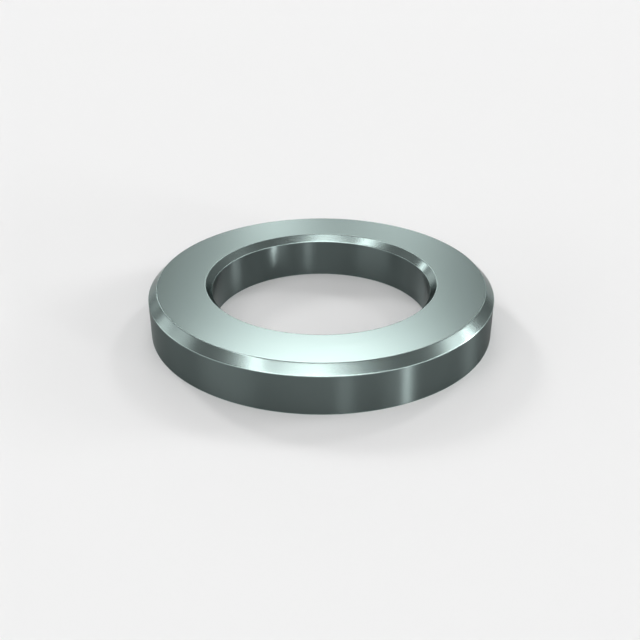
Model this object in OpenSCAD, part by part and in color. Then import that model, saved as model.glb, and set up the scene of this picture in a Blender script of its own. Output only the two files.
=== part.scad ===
// Plain round washer: a flat steel ring with a chamfer round the top of its rim
// and a second chamfer round the mouth of its bore. It lies on its flat seat face,
// with the origin at the centre of that face and +Z along the bore.

/* [Ring] */
// Outside diameter of the ring
outer_d = 22; // [20:0.1:30]
// Diameter of the bore, which slips over a 14 mm pin
bore_d = 14; // [6:0.1:16]
// Thickness from the seat face to the top face
thickness = 3; // [1.5:0.1:6]

/* [Chamfers] */
// Height of the chamfer round the top of the rim
rim_chamfer_h = 0.55; // [0.2:0.05:0.8]
// Slope of the rim chamfer, measured from the top face
rim_chamfer_angle = 45; // [40:1:60]
// Height of the chamfer round the mouth of the bore
bore_chamfer_h = 0.45; // [0.2:0.05:0.6]
// Slope of the bore chamfer, measured from the top face: a countersink of 82 degrees
bore_chamfer_angle = 49; // [40:1:60]

/* [Edges] */
// Radius that takes the sharpness off every edge of the section
edge_r = 0.05; // [0.02:0.01:0.1]

/* [Hidden] */

outer_r = outer_d / 2;
bore_r = bore_d / 2;
rim_chamfer_w = rim_chamfer_h / tan(rim_chamfer_angle);
bore_chamfer_w = bore_chamfer_h / tan(bore_chamfer_angle);

// Steps along each edge's small arc, and round the ring
edge_steps = 4;
ring_steps = 180;

// The half section's corners as [radius, height], counter-clockwise from the seat face's bore edge
section_corners = [
    [bore_r, 0],
    [outer_r, 0],
    [outer_r, thickness - rim_chamfer_h],
    [outer_r - rim_chamfer_w, thickness],
    [bore_r + bore_chamfer_w, thickness],
    [bore_r, thickness - bore_chamfer_h],
];

// Points along the arc that rounds one corner of a counter-clockwise outline
function rounded_corner(before, corner, after) =
    let (
        to_before = (before - corner) / norm(before - corner),
        to_after = (after - corner) / norm(after - corner),
        half_angle = acos(to_before * to_after) / 2,
        bisector = (to_before + to_after) / norm(to_before + to_after),
        centre = corner + bisector * edge_r / sin(half_angle),
        first = corner + to_before * edge_r / tan(half_angle) - centre,
        start = atan2(first[1], first[0]),
        turn = 180 - 2 * half_angle
    )
    [for (i = [0 : edge_steps])
        let (angle = start + turn * i / edge_steps)
        centre + edge_r * [cos(angle), sin(angle)]];

// An outline with the same small arc at each of its corners
function rounded_outline(corners) =
    let (last = len(corners) - 1)
    [for (i = [0 : last])
        each rounded_corner(
            corners[i == 0 ? last : i - 1],
            corners[i],
            corners[i == last ? 0 : i + 1]
        )];

// The whole washer, turned as one solid from its half section
module washer() {
    color([0.62, 0.69, 0.67])
        rotate_extrude($fn = ring_steps)
            polygon(rounded_outline(section_corners));
}

washer();
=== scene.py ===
"""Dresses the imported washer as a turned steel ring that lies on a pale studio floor."""

import logging
import math
from dataclasses import dataclass
from enum import Enum
from typing import ClassVar

import bmesh
import bpy
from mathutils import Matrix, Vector
from mathutils.geometry import intersect_line_line


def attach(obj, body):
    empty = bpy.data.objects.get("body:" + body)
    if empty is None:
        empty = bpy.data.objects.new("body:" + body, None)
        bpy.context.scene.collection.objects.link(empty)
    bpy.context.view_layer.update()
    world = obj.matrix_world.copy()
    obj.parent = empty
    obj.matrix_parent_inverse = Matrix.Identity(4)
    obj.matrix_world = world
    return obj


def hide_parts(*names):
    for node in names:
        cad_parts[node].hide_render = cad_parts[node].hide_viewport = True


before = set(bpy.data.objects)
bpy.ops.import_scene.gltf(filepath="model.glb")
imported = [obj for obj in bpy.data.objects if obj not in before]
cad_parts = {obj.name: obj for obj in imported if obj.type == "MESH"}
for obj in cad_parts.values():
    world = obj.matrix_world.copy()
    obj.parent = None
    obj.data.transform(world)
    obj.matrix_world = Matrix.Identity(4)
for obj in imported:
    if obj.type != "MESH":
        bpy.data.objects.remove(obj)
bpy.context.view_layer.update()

LOG = logging.getLogger("washer")
NODE = "washer"
BODY = "root"
MM = 0.001
WHITE = (1.0, 1.0, 1.0, 1.0)
Socket = bpy.types.NodeSocket
Triple = tuple[float, float, float]


class Zone(Enum):
    """The cuts that the ring's surface is made of, in the order of the mesh's materials."""

    FACE = 0
    CHAMFER = 1
    RIM = 2
    BORE = 3
    EDGE = 4


def around(items: list) -> list[tuple]:
    """Pairs each item of a closed round with the one after it."""
    return list(zip(items, items[1:] + items[:1]))


def mesh_of(shape: bmesh.types.BMesh, name: str) -> bpy.types.Mesh:
    """Turns a finished shape into a mesh, and frees the shape.

    Args:
        shape: The finished shape.
        name: The mesh's name.

    Returns:
        The new mesh.
    """
    mesh = bpy.data.meshes.new(name)
    shape.to_mesh(mesh)
    shape.free()
    return mesh


def put_in_scene(data: bpy.types.ID) -> bpy.types.Object:
    """Puts a mesh, a lamp or a camera in the scene.

    Args:
        data: What the object shows, whose name it takes.

    Returns:
        The new object.
    """
    thing = bpy.data.objects.new(data.name, data)
    bpy.context.scene.collection.objects.link(thing)
    return thing


class NodeGraph:
    """A shader node tree that is filled by short calls.

    Attributes:
        MIX_FIRST: The Mix node's socket for its first colour.
        MIX_SECOND: The Mix node's socket for its second colour.
        MIX_RESULT: The Mix node's socket for the mixed colour.
    """

    MIX_FIRST: ClassVar[int] = 6
    MIX_SECOND: ClassVar[int] = 7
    MIX_RESULT: ClassVar[int] = 2

    def __init__(self, tree: bpy.types.NodeTree) -> None:
        """Empties the tree.

        Args:
            tree: The node tree of a material, a lamp or a world.
        """
        self.tree = tree
        tree.nodes.clear()

    def add(self, kind: str, settings: dict[str, object] | None = None, **inputs: object) -> bpy.types.Node:
        """Adds one node.

        Args:
            kind: Blender's name of the node type.
            settings: The node's own properties.
            **inputs: What goes into its sockets, by socket name with _ for a space.

        Returns:
            The new node.
        """
        node = self.tree.nodes.new(kind)
        for name, value in (settings or {}).items():
            setattr(node, name, value)
        for name, value in inputs.items():
            self.feed(node.inputs[name.replace("_", " ")], value)
        return node

    def feed(self, target: Socket, value: object) -> None:
        """Links a socket to the target, or sets the target's own value.

        Args:
            target: The input socket.
            value: An output socket, or a plain value.
        """
        if isinstance(value, Socket):
            self.tree.links.new(value, target)
        else:
            target.default_value = value

    def math(self, operation: str, *values: Socket | float) -> Socket:
        """Adds a Math node.

        Args:
            operation: The node's operation.
            *values: Its inputs in order.

        Returns:
            Its result.
        """
        node = self.add("ShaderNodeMath", {"operation": operation})
        for target, value in zip(node.inputs, values):
            self.feed(target, value)
        return node.outputs["Value"]

    def vector(self, operation: str, output: str, *values: object) -> Socket:
        """Adds a Vector Math node.

        Args:
            operation: The node's operation.
            output: The name of the wanted result.
            *values: Its inputs in order.

        Returns:
            The wanted result.
        """
        node = self.add("ShaderNodeVectorMath", {"operation": operation})
        for target, value in zip(node.inputs, values):
            self.feed(target, value)
        return node.outputs[output]

    def spread(
        self,
        value: Socket,
        low: float,
        high: float,
        start: float = 0.0,
        end: float = 1.0,
        soft: bool = False,
    ) -> Socket:
        """Maps one range of a value to another.

        Args:
            value: The value to map.
            low: The result at the start.
            high: The result at the end.
            start: Where the range starts.
            end: Where the range ends.
            soft: Whether both ends of the change are eased.

        Returns:
            The mapped value.
        """
        kind = "SMOOTHSTEP" if soft else "LINEAR"
        node = self.add("ShaderNodeMapRange", {"interpolation_type": kind}, Value=value)
        ends = {"From Min": start, "From Max": end, "To Min": low, "To Max": high}
        for name, number in ends.items():
            node.inputs[name].default_value = number
        return node.outputs["Result"]

    def blend(self, share: Socket, first: Triple, second: Triple) -> Socket:
        """Mixes two colours.

        Args:
            share: The share of the second colour.
            first: The colour at a share of 0, linear.
            second: The colour at a share of 1, linear.

        Returns:
            The mixed colour.
        """
        node = self.add("ShaderNodeMix", {"data_type": "RGBA"}, Factor=share)
        self.feed(node.inputs[self.MIX_FIRST], (*first, 1.0))
        self.feed(node.inputs[self.MIX_SECOND], (*second, 1.0))
        return node.outputs[self.MIX_RESULT]


@dataclass(frozen=True)
class TurnedSteel:
    """A steel surface cut on a lathe, with fine marks that run round the axis.

    Attributes:
        name: The material's name.
        roughness: Mean roughness.
        bright: Colour of the cleaner steel, linear, which on the rim and bore walls is darkened as painted
            shade.
        dull: Colour of the greyer patches, linear, which on the rim and bore walls is darkened as painted
            shade.
        roughness_swing: How far the roughness departs from its mean.
        mark_share: Share of that swing that follows the marks, where the patches make the rest.
        edge_tint: How much of the plain grazing reflection the steel keeps.
        anisotropy: How much wider the gloss is across the marks than along them.
        mark_pitch: Distance between the tool's marks, in metres.
        mark_depth: Depth of the marks, in metres.
        mark_detail: Octaves of finer marks between them.
        patch_size: Size of the patches of colour, in metres.
        patch_detail: Octaves of smaller patches within them.
        patch_fade: How strong each octave of patches is beside the one before it.
        QUARTER_TURN: Turns the wide side of the gloss from along the marks to across them.
    """

    name: str
    roughness: float
    bright: Triple = (0.35, 0.435, 0.42)
    dull: Triple = (0.325, 0.405, 0.39)
    roughness_swing: float = 0.015
    mark_share: float = 0.3
    edge_tint: float = 0.5
    anisotropy: float = 0.0
    mark_pitch: float = 0.4 * MM
    mark_depth: float = 0.0004 * MM
    mark_detail: float = 1.0
    patch_size: float = 3.2 * MM
    patch_detail: float = 3.0
    patch_fade: float = 0.55

    QUARTER_TURN: ClassVar[float] = 0.25

    def material(self) -> bpy.types.Material:
        """Makes the material.

        Returns:
            The new material.
        """
        material = bpy.data.materials.new(self.name)
        material.use_nodes = True
        graph = NodeGraph(material.node_tree)
        place = graph.add("ShaderNodeTexCoord").outputs["Object"]
        marks = self.marks(graph, place)
        patches = self.patches(graph, place)
        soft = graph.math("MULTIPLY", patches, 1.0 - self.mark_share)
        worn = graph.math("MULTIPLY_ADD", marks, self.mark_share, soft)
        glossiest = self.roughness - self.roughness_swing
        dullest = self.roughness + self.roughness_swing
        bump = graph.add("ShaderNodeBump", Height=marks, Strength=1.0, Distance=self.mark_depth)
        tangent = graph.add("ShaderNodeTangent", {"direction_type": "RADIAL", "axis": "Z"})
        steel = graph.add(
            "ShaderNodeBsdfPrincipled",
            Base_Color=graph.blend(patches, self.dull, self.bright),
            Metallic=1.0,
            Roughness=graph.spread(worn, dullest, glossiest),
            Anisotropic=self.anisotropy,
            Anisotropic_Rotation=self.QUARTER_TURN,
            Specular_Tint=(self.edge_tint, self.edge_tint, self.edge_tint, 1.0),
            Normal=bump.outputs["Normal"],
            Tangent=tangent.outputs["Tangent"],
        )
        graph.add("ShaderNodeOutputMaterial", Surface=steel.outputs["BSDF"])
        return material

    def marks(self, graph: NodeGraph, place: Socket) -> Socket:
        """Adds the tool's marks: lines at one radius and height, right round the axis.

        Args:
            graph: The material's nodes.
            place: The point on the surface.

        Returns:
            The height of the marks, from 0 to 1.
        """
        flat = graph.vector("MULTIPLY", "Vector", place, (1.0, 1.0, 0.0))
        section = graph.add(
            "ShaderNodeCombineXYZ",
            X=graph.vector("LENGTH", "Value", flat),
            Y=graph.add("ShaderNodeSeparateXYZ", Vector=place).outputs["Z"],
        )
        noise = graph.add(
            "ShaderNodeTexNoise",
            {"noise_dimensions": "2D"},
            Vector=section.outputs["Vector"],
            Scale=1.0 / self.mark_pitch,
            Detail=self.mark_detail,
        )
        return noise.outputs["Fac"]

    def patches(self, graph: NodeGraph, place: Socket) -> Socket:
        """Adds the soft patches of duller and brighter steel.

        Args:
            graph: The material's nodes.
            place: The point on the surface.

        Returns:
            The share of bright steel, from 0 to 1.
        """
        noise = graph.add(
            "ShaderNodeTexNoise",
            Vector=place,
            Scale=1.0 / self.patch_size,
            Detail=self.patch_detail,
            Roughness=self.patch_fade,
        )
        return noise.outputs["Fac"]


FINISHES: dict[Zone, TurnedSteel] = {
    Zone.FACE: TurnedSteel("steel_face", roughness=0.21),
    Zone.CHAMFER: TurnedSteel("steel_chamfer", roughness=0.2),
    # Painted shade: the rim wall is the same steel as the faces, but its colours are darkened to about a
    # third to stand in for the dark reflections on the wall.
    Zone.RIM: TurnedSteel(
        "steel_rim_painted_shade",
        roughness=0.29,
        bright=(0.118, 0.146, 0.142),
        dull=(0.109, 0.135, 0.131),
        anisotropy=1.0,
    ),
    # Painted shade: the bore wall is the same steel as the faces, but its colours are darkened to about a
    # third to stand in for the dark reflections on the wall.
    Zone.BORE: TurnedSteel(
        "steel_bore_painted_shade",
        roughness=0.29,
        bright=(0.132, 0.163, 0.159),
        dull=(0.122, 0.151, 0.147),
        anisotropy=1.0,
        edge_tint=1.0,
    ),
    Zone.EDGE: TurnedSteel("steel_edge", roughness=0.55, mark_depth=0.00002 * MM),
}


@dataclass
class Washer:
    """The ring: a half section with broken edges, turned once round the axis.

    Attributes:
        outer_radius: Radius of the rim wall.
        bore_radius: Radius of the bore wall.
        thickness: Height from the seat face to the top face.
        rim_chamfer: Width and height of the rim's chamfer.
        bore_chamfer: Width and height of the bore's chamfer.
        edge_radius: Radius of the small arc on every edge.
        edge_steps: Straight steps along each of those arcs.
        turn_steps: Steps of the full turn.
        NAME: The piece's name.
        DECIMALS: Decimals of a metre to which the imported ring's points are read.
        SHORTEST_FLAT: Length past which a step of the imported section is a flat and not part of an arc.
        WELD_GAP: Distance within which the turned section's first and last points are one.
        CUT_TOLERANCE: Largest angle between a face and the cut that it belongs to.
    """

    outer_radius: float
    bore_radius: float
    thickness: float
    rim_chamfer: tuple[float, float]
    bore_chamfer: tuple[float, float]
    edge_radius: float
    edge_steps: int = 4
    turn_steps: int = 480

    NAME: ClassVar[str] = "steel_washer"
    DECIMALS: ClassVar[int] = 6
    SHORTEST_FLAT: ClassVar[float] = 0.1 * MM
    WELD_GAP: ClassVar[float] = 0.0001 * MM
    CUT_TOLERANCE: ClassVar[float] = math.radians(0.5)

    @classmethod
    def from_frame(cls) -> "Washer":
        """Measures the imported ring: its corners are where the flats of its section meet.

        Returns:
            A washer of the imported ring's sizes.
        """
        spots = {
            (round(point.co.xy.length, cls.DECIMALS), round(point.co.z, cls.DECIMALS))
            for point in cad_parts[NODE].data.vertices
        }
        outline = [Vector((radius, 0.0, height)) for radius, height in spots]
        middle = sum(outline, Vector()) / len(outline)
        outline.sort(key=lambda spot: math.atan2(spot.z - middle.z, spot.x - middle.x))
        flats = [step for step in around(outline) if (step[1] - step[0]).length > cls.SHORTEST_FLAT]
        corners = [intersect_line_line(*here, *there)[0] for here, there in around(flats)]
        rim_foot, rim_low, rim_top, bore_top, bore_low, bore_foot = corners
        return cls(
            outer_radius=rim_foot.x,
            bore_radius=bore_foot.x,
            thickness=rim_top.z - rim_foot.z,
            rim_chamfer=(rim_low.x - rim_top.x, rim_top.z - rim_low.z),
            bore_chamfer=(bore_top.x - bore_low.x, bore_top.z - bore_low.z),
            edge_radius=rim_foot.x - flats[0][1].x,
        )

    def build(self) -> bpy.types.Object:
        """Turns the section, sorts its faces by cut and dresses them.

        Returns:
            The ring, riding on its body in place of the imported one.
        """
        shape = bmesh.new()
        self.section(shape)
        bmesh.ops.spin(
            shape,
            geom=shape.verts[:] + shape.edges[:],
            cent=(0.0, 0.0, 0.0),
            axis=(0.0, 0.0, 1.0),
            angle=math.tau,
            steps=self.turn_steps,
            use_merge=True,
        )
        bmesh.ops.remove_doubles(shape, verts=shape.verts[:], dist=self.WELD_GAP)
        bmesh.ops.recalc_face_normals(shape, faces=shape.faces[:])
        self.sort_faces(shape)
        mesh = mesh_of(shape, self.NAME)
        for zone in Zone:
            mesh.materials.append(FINISHES[zone].material())
        ring = put_in_scene(mesh)
        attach(ring, BODY)
        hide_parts(NODE)
        return ring

    def section(self, shape: bmesh.types.BMesh) -> None:
        """Draws the half section, with a small arc on each corner and a point beside each arc.

        Args:
            shape: The empty shape to draw in.
        """
        rim_w, rim_h = self.rim_chamfer
        bore_w, bore_h = self.bore_chamfer
        corners = [
            Vector((self.outer_radius, 0.0, 0.0)),
            Vector((self.outer_radius, 0.0, self.thickness - rim_h)),
            Vector((self.outer_radius - rim_w, 0.0, self.thickness)),
            Vector((self.bore_radius + bore_w, 0.0, self.thickness)),
            Vector((self.bore_radius, 0.0, self.thickness - bore_h)),
            Vector((self.bore_radius, 0.0, 0.0)),
        ]
        points = [shape.verts.new(corner) for corner in corners]
        for here, there in around(points):
            shape.edges.new((here, there))
        before = corners[-1:] + corners[:-1]
        for point, back, (corner, ahead) in zip(points, before, around(corners)):
            turn = (corner - back).angle(ahead - corner)
            bmesh.ops.bevel(
                shape,
                geom=[point],
                offset=self.edge_radius * math.tan(turn / 2.0),
                offset_type="OFFSET",
                segments=self.edge_steps,
                profile=0.5,
                affect="VERTICES",
                material=-1,
            )
        flats = [edge for edge in shape.edges if edge.calc_length() > 2.0 * self.edge_radius]
        for flat in flats:
            for end in flat.verts[:]:
                bmesh.utils.edge_split(flat, end, self.edge_radius / flat.calc_length())

    def sort_faces(self, shape: bmesh.types.BMesh) -> None:
        """Gives each face the finish of the cut it belongs to, and smooth shading.

        Args:
            shape: The turned ring.
        """
        rim_w, rim_h = self.rim_chamfer
        bore_w, bore_h = self.bore_chamfer
        cuts = (
            (Vector((0.0, 1.0)), Zone.FACE),
            (Vector((0.0, -1.0)), Zone.FACE),
            (Vector((rim_h, rim_w)), Zone.CHAMFER),
            (Vector((-bore_h, bore_w)), Zone.CHAMFER),
            (Vector((1.0, 0.0)), Zone.RIM),
            (Vector((-1.0, 0.0)), Zone.BORE),
        )
        for face in shape.faces:
            outward = face.calc_center_median().xy.normalized()
            facing = Vector((face.normal.xy.dot(outward), face.normal.z))
            zones = [zone for way, zone in cuts if facing.angle(way) < self.CUT_TOLERANCE]
            face.material_index = (zones or [Zone.EDGE])[0].value
            face.smooth = True


@dataclass(frozen=True)
class Softbox:
    """An oval studio lamp that points at the ring, bright in the middle and soft at its edge.

    Attributes:
        name: The lamp's name.
        azimuth: Where it hangs, in degrees from +Y towards +X.
        elevation: How high it hangs, in degrees above the floor.
        width: Its width as seen from the ring, in degrees.
        height: Its height as seen from the ring, in degrees.
        radiance: How bright its middle looks, where 1 is white.
        core: Share of its radius that is fully bright.
        distance: How far it hangs from the ring, in metres.
        HALF: The middle of the lamp, and its radius, in its own measure from 0 to 1.
    """

    name: str
    azimuth: float
    elevation: float
    width: float
    height: float
    radiance: float
    core: float
    distance: float = 1.5

    HALF: ClassVar[float] = 0.5

    def hang(self) -> bpy.types.Object:
        """Makes the lamp.

        Returns:
            The new lamp.
        """
        lamp = bpy.data.lights.new(self.name, "AREA")
        lamp.shape = "ELLIPSE"
        lamp.size = 2.0 * self.distance * math.tan(math.radians(self.width) / 2.0)
        lamp.size_y = 2.0 * self.distance * math.tan(math.radians(self.height) / 2.0)
        lamp.energy = self.radiance * math.pi * (math.pi / 4.0 * lamp.size * lamp.size_y)
        self.soften(lamp)
        turn = math.radians(self.azimuth)
        rise = math.radians(self.elevation)
        away = Vector((
            math.sin(turn) * math.cos(rise),
            math.cos(turn) * math.cos(rise),
            math.sin(rise),
        ))
        hung = put_in_scene(lamp)
        hung.location = away * self.distance
        hung.rotation_euler = away.to_track_quat("Z", "Y").to_euler()
        hung.visible_camera = False
        return hung

    def soften(self, lamp: bpy.types.AreaLight) -> None:
        """Fades the lamp from its core to its edge.

        Args:
            lamp: The lamp to fade.
        """
        lamp.use_nodes = True
        graph = NodeGraph(lamp.node_tree)
        spot = graph.add("ShaderNodeNewGeometry").outputs["Parametric"]
        off = graph.vector("DISTANCE", "Value", spot, (self.HALF, self.HALF, 0.0))
        fade = graph.spread(off, 1.0, 0.0, start=self.HALF * self.core, end=self.HALF, soft=True)
        glow = graph.add("ShaderNodeEmission", Strength=fade)
        graph.add("ShaderNodeOutputLight", Surface=glow.outputs["Emission"])


@dataclass(frozen=True)
class MattPaint:
    """A plain matt surface.

    Attributes:
        name: The material's name.
        colour: Its colour, linear.
    """

    name: str
    colour: Triple

    def material(self) -> bpy.types.Material:
        """Makes the material.

        Returns:
            The new material.
        """
        material = bpy.data.materials.new(self.name)
        material.use_nodes = True
        graph = NodeGraph(material.node_tree)
        matt = graph.add("ShaderNodeBsdfDiffuse", Color=(*self.colour, 1.0))
        graph.add("ShaderNodeOutputMaterial", Surface=matt.outputs["BSDF"])
        return material


@dataclass
class Studio:
    """The pale floor, the dim room and the lamps.

    Attributes:
        floor_radius: Radius of the floor, in metres.
        floor_sides: Straight sides of the floor's edge.
        floor_paint: Finish of the floor.
        horizon: How bright the room is at the floor's edge.
        ceiling: How bright the room is overhead.
        ceiling_height: Height at which the room is as dim as overhead, as the sine of its elevation.
        LAMPS: The lamps, each with azimuth, elevation, width, height, radiance and core in that order.
    """

    floor_radius: float = 3.0
    floor_sides: int = 96
    floor_paint: MattPaint = MattPaint("matt_floor", (0.83, 0.83, 0.83))
    horizon: float = 0.22
    ceiling: float = 0.19
    ceiling_height: float = 0.45

    LAMPS: ClassVar[tuple[Softbox, ...]] = (
        Softbox("back_glow", 0.0, 36.5, 28.0, 17.0, 4.2, 0.4),
        Softbox("back_low", -3.5, 16.5, 9.0, 20.0, 2.5, 0.1),
        Softbox("back_side", 6.5, 16.5, 11.0, 11.0, 2.5, 0.3),
        Softbox("back_card", 0.0, 22.5, 34.0, 32.0, 0.6, 0.3),
        Softbox("back_right", 36.0, 36.0, 10.0, 10.0, 31.0, 0.5),
        Softbox("back_left", -36.0, 30.0, 10.0, 14.0, 38.0, 0.5),
        Softbox("front_overhead", -175.0, 54.5, 92.0, 6.5, 5.7, 0.9),
        Softbox("front_left", -112.0, 52.0, 36.0, 4.6, 4.8, 0.9),
        Softbox("right_strip", 75.5, 15.5, 14.5, 18.0, 17.0, 0.85),
        Softbox("right_card", 95.0, 29.0, 34.0, 11.0, 2.8, 0.8),
        Softbox("left_card", -71.0, 12.0, 30.0, 19.0, 1.6, 0.9),
        Softbox("left_top", -80.0, 22.0, 21.0, 20.0, 0.9, 0.85),
        Softbox("left_spot", -49.0, 20.0, 8.5, 6.0, 4.8, 0.6),
        Softbox("left_low", -34.0, 8.5, 33.0, 12.0, 0.7, 0.9),
        Softbox("right_tube", 128.0, 5.5, 5.0, 11.0, 130.0, 0.6),
        Softbox("right_glow", 138.0, 7.0, 16.0, 12.0, 8.0, 0.1),
        Softbox("front_card", -120.0, 10.0, 44.0, 16.0, 4.2, 0.85),
        Softbox("front_tube", 166.0, 10.0, 12.0, 16.0, 11.0, 0.5),
        Softbox("front_soft", 180.0, 27.0, 70.0, 28.0, 1.0, 0.4),
        Softbox("ceiling", 0.0, 86.0, 36.0, 84.0, 1.2, 0.4),
    )

    def build(self) -> None:
        """Lays the floor, paints the room and hangs the lamps."""
        LOG.info("stage %s", self.lay_floor().name)
        self.paint_room()
        for lamp in self.LAMPS:
            LOG.info("lamp %s", lamp.hang().name)

    def lay_floor(self) -> bpy.types.Object:
        """Lays the matt floor under the ring.

        Returns:
            The floor.
        """
        shape = bmesh.new()
        bmesh.ops.create_circle(
            shape,
            cap_ends=True,
            segments=self.floor_sides,
            radius=self.floor_radius,
        )
        mesh = mesh_of(shape, "floor")
        mesh.materials.append(self.floor_paint.material())
        floor = put_in_scene(mesh)
        return floor

    def paint_room(self) -> None:
        """Makes the room paler at the floor's edge than overhead."""
        world = bpy.data.worlds.new("room")
        world.use_nodes = True
        graph = NodeGraph(world.node_tree)
        way = graph.add("ShaderNodeTexCoord").outputs["Generated"]
        rise = graph.add("ShaderNodeSeparateXYZ", Vector=way).outputs["Z"]
        level = graph.spread(rise, self.horizon, self.ceiling, end=self.ceiling_height, soft=True)
        room = graph.add("ShaderNodeBackground", Color=WHITE, Strength=level)
        graph.add("ShaderNodeOutputWorld", Surface=room.outputs["Background"])
        bpy.context.scene.world = world


@dataclass
class PhotoCamera:
    """The camera of the picture: in front of the ring and a little above it.

    Attributes:
        ring_radius: The ring's outside radius.
        elevation: Angle of view above the floor, in degrees.
        reach: Distance from the point that it looks at, in outside radii.
        lens: Focal length in millimetres, on a sensor of sensor_width.
        sensor_width: Width of the sensor in millimetres.
        aim: The point that it looks at, in outside radii from the seat centre.
        nearest: Nearest distance that is drawn, in outside radii.
        farthest: Farthest distance that is drawn, in metres.
    """

    ring_radius: float
    elevation: float = 28.378
    reach: float = 5.05
    lens: float = 47.31
    sensor_width: float = 36.0
    aim: Triple = (-0.0068, 0.0, -0.0047)
    nearest: float = 0.1
    farthest: float = 10.0

    def set_up(self) -> bpy.types.Object:
        """Makes the camera and gives it to the scene.

        Returns:
            The camera.
        """
        rise = math.radians(self.elevation)
        offset = Vector(self.aim) * self.ring_radius
        back = Vector((0.0, -math.cos(rise), math.sin(rise)))
        lens = bpy.data.cameras.new("photo_camera")
        lens.lens = self.lens
        lens.sensor_width = self.sensor_width
        lens.clip_start = self.nearest * self.ring_radius
        lens.clip_end = self.farthest
        camera = put_in_scene(lens)
        camera.location = back * self.reach * self.ring_radius + offset
        camera.rotation_euler = back.to_track_quat("Z", "Y").to_euler()
        bpy.context.scene.camera = camera
        return camera


def main() -> None:
    """Builds the camera, the ring and the studio in order."""
    logging.basicConfig(level=logging.INFO, format="%(name)s: %(message)s")
    bpy.context.scene.view_settings.view_transform = "Standard"
    washer = Washer.from_frame()
    LOG.info("measured %s", washer)
    LOG.info("camera %s", PhotoCamera(washer.outer_radius).set_up().name)
    ring = washer.build()
    LOG.info("piece %s has %d faces", ring.name, len(ring.data.polygons))
    Studio().build()


if __name__ == "__main__":
    main()
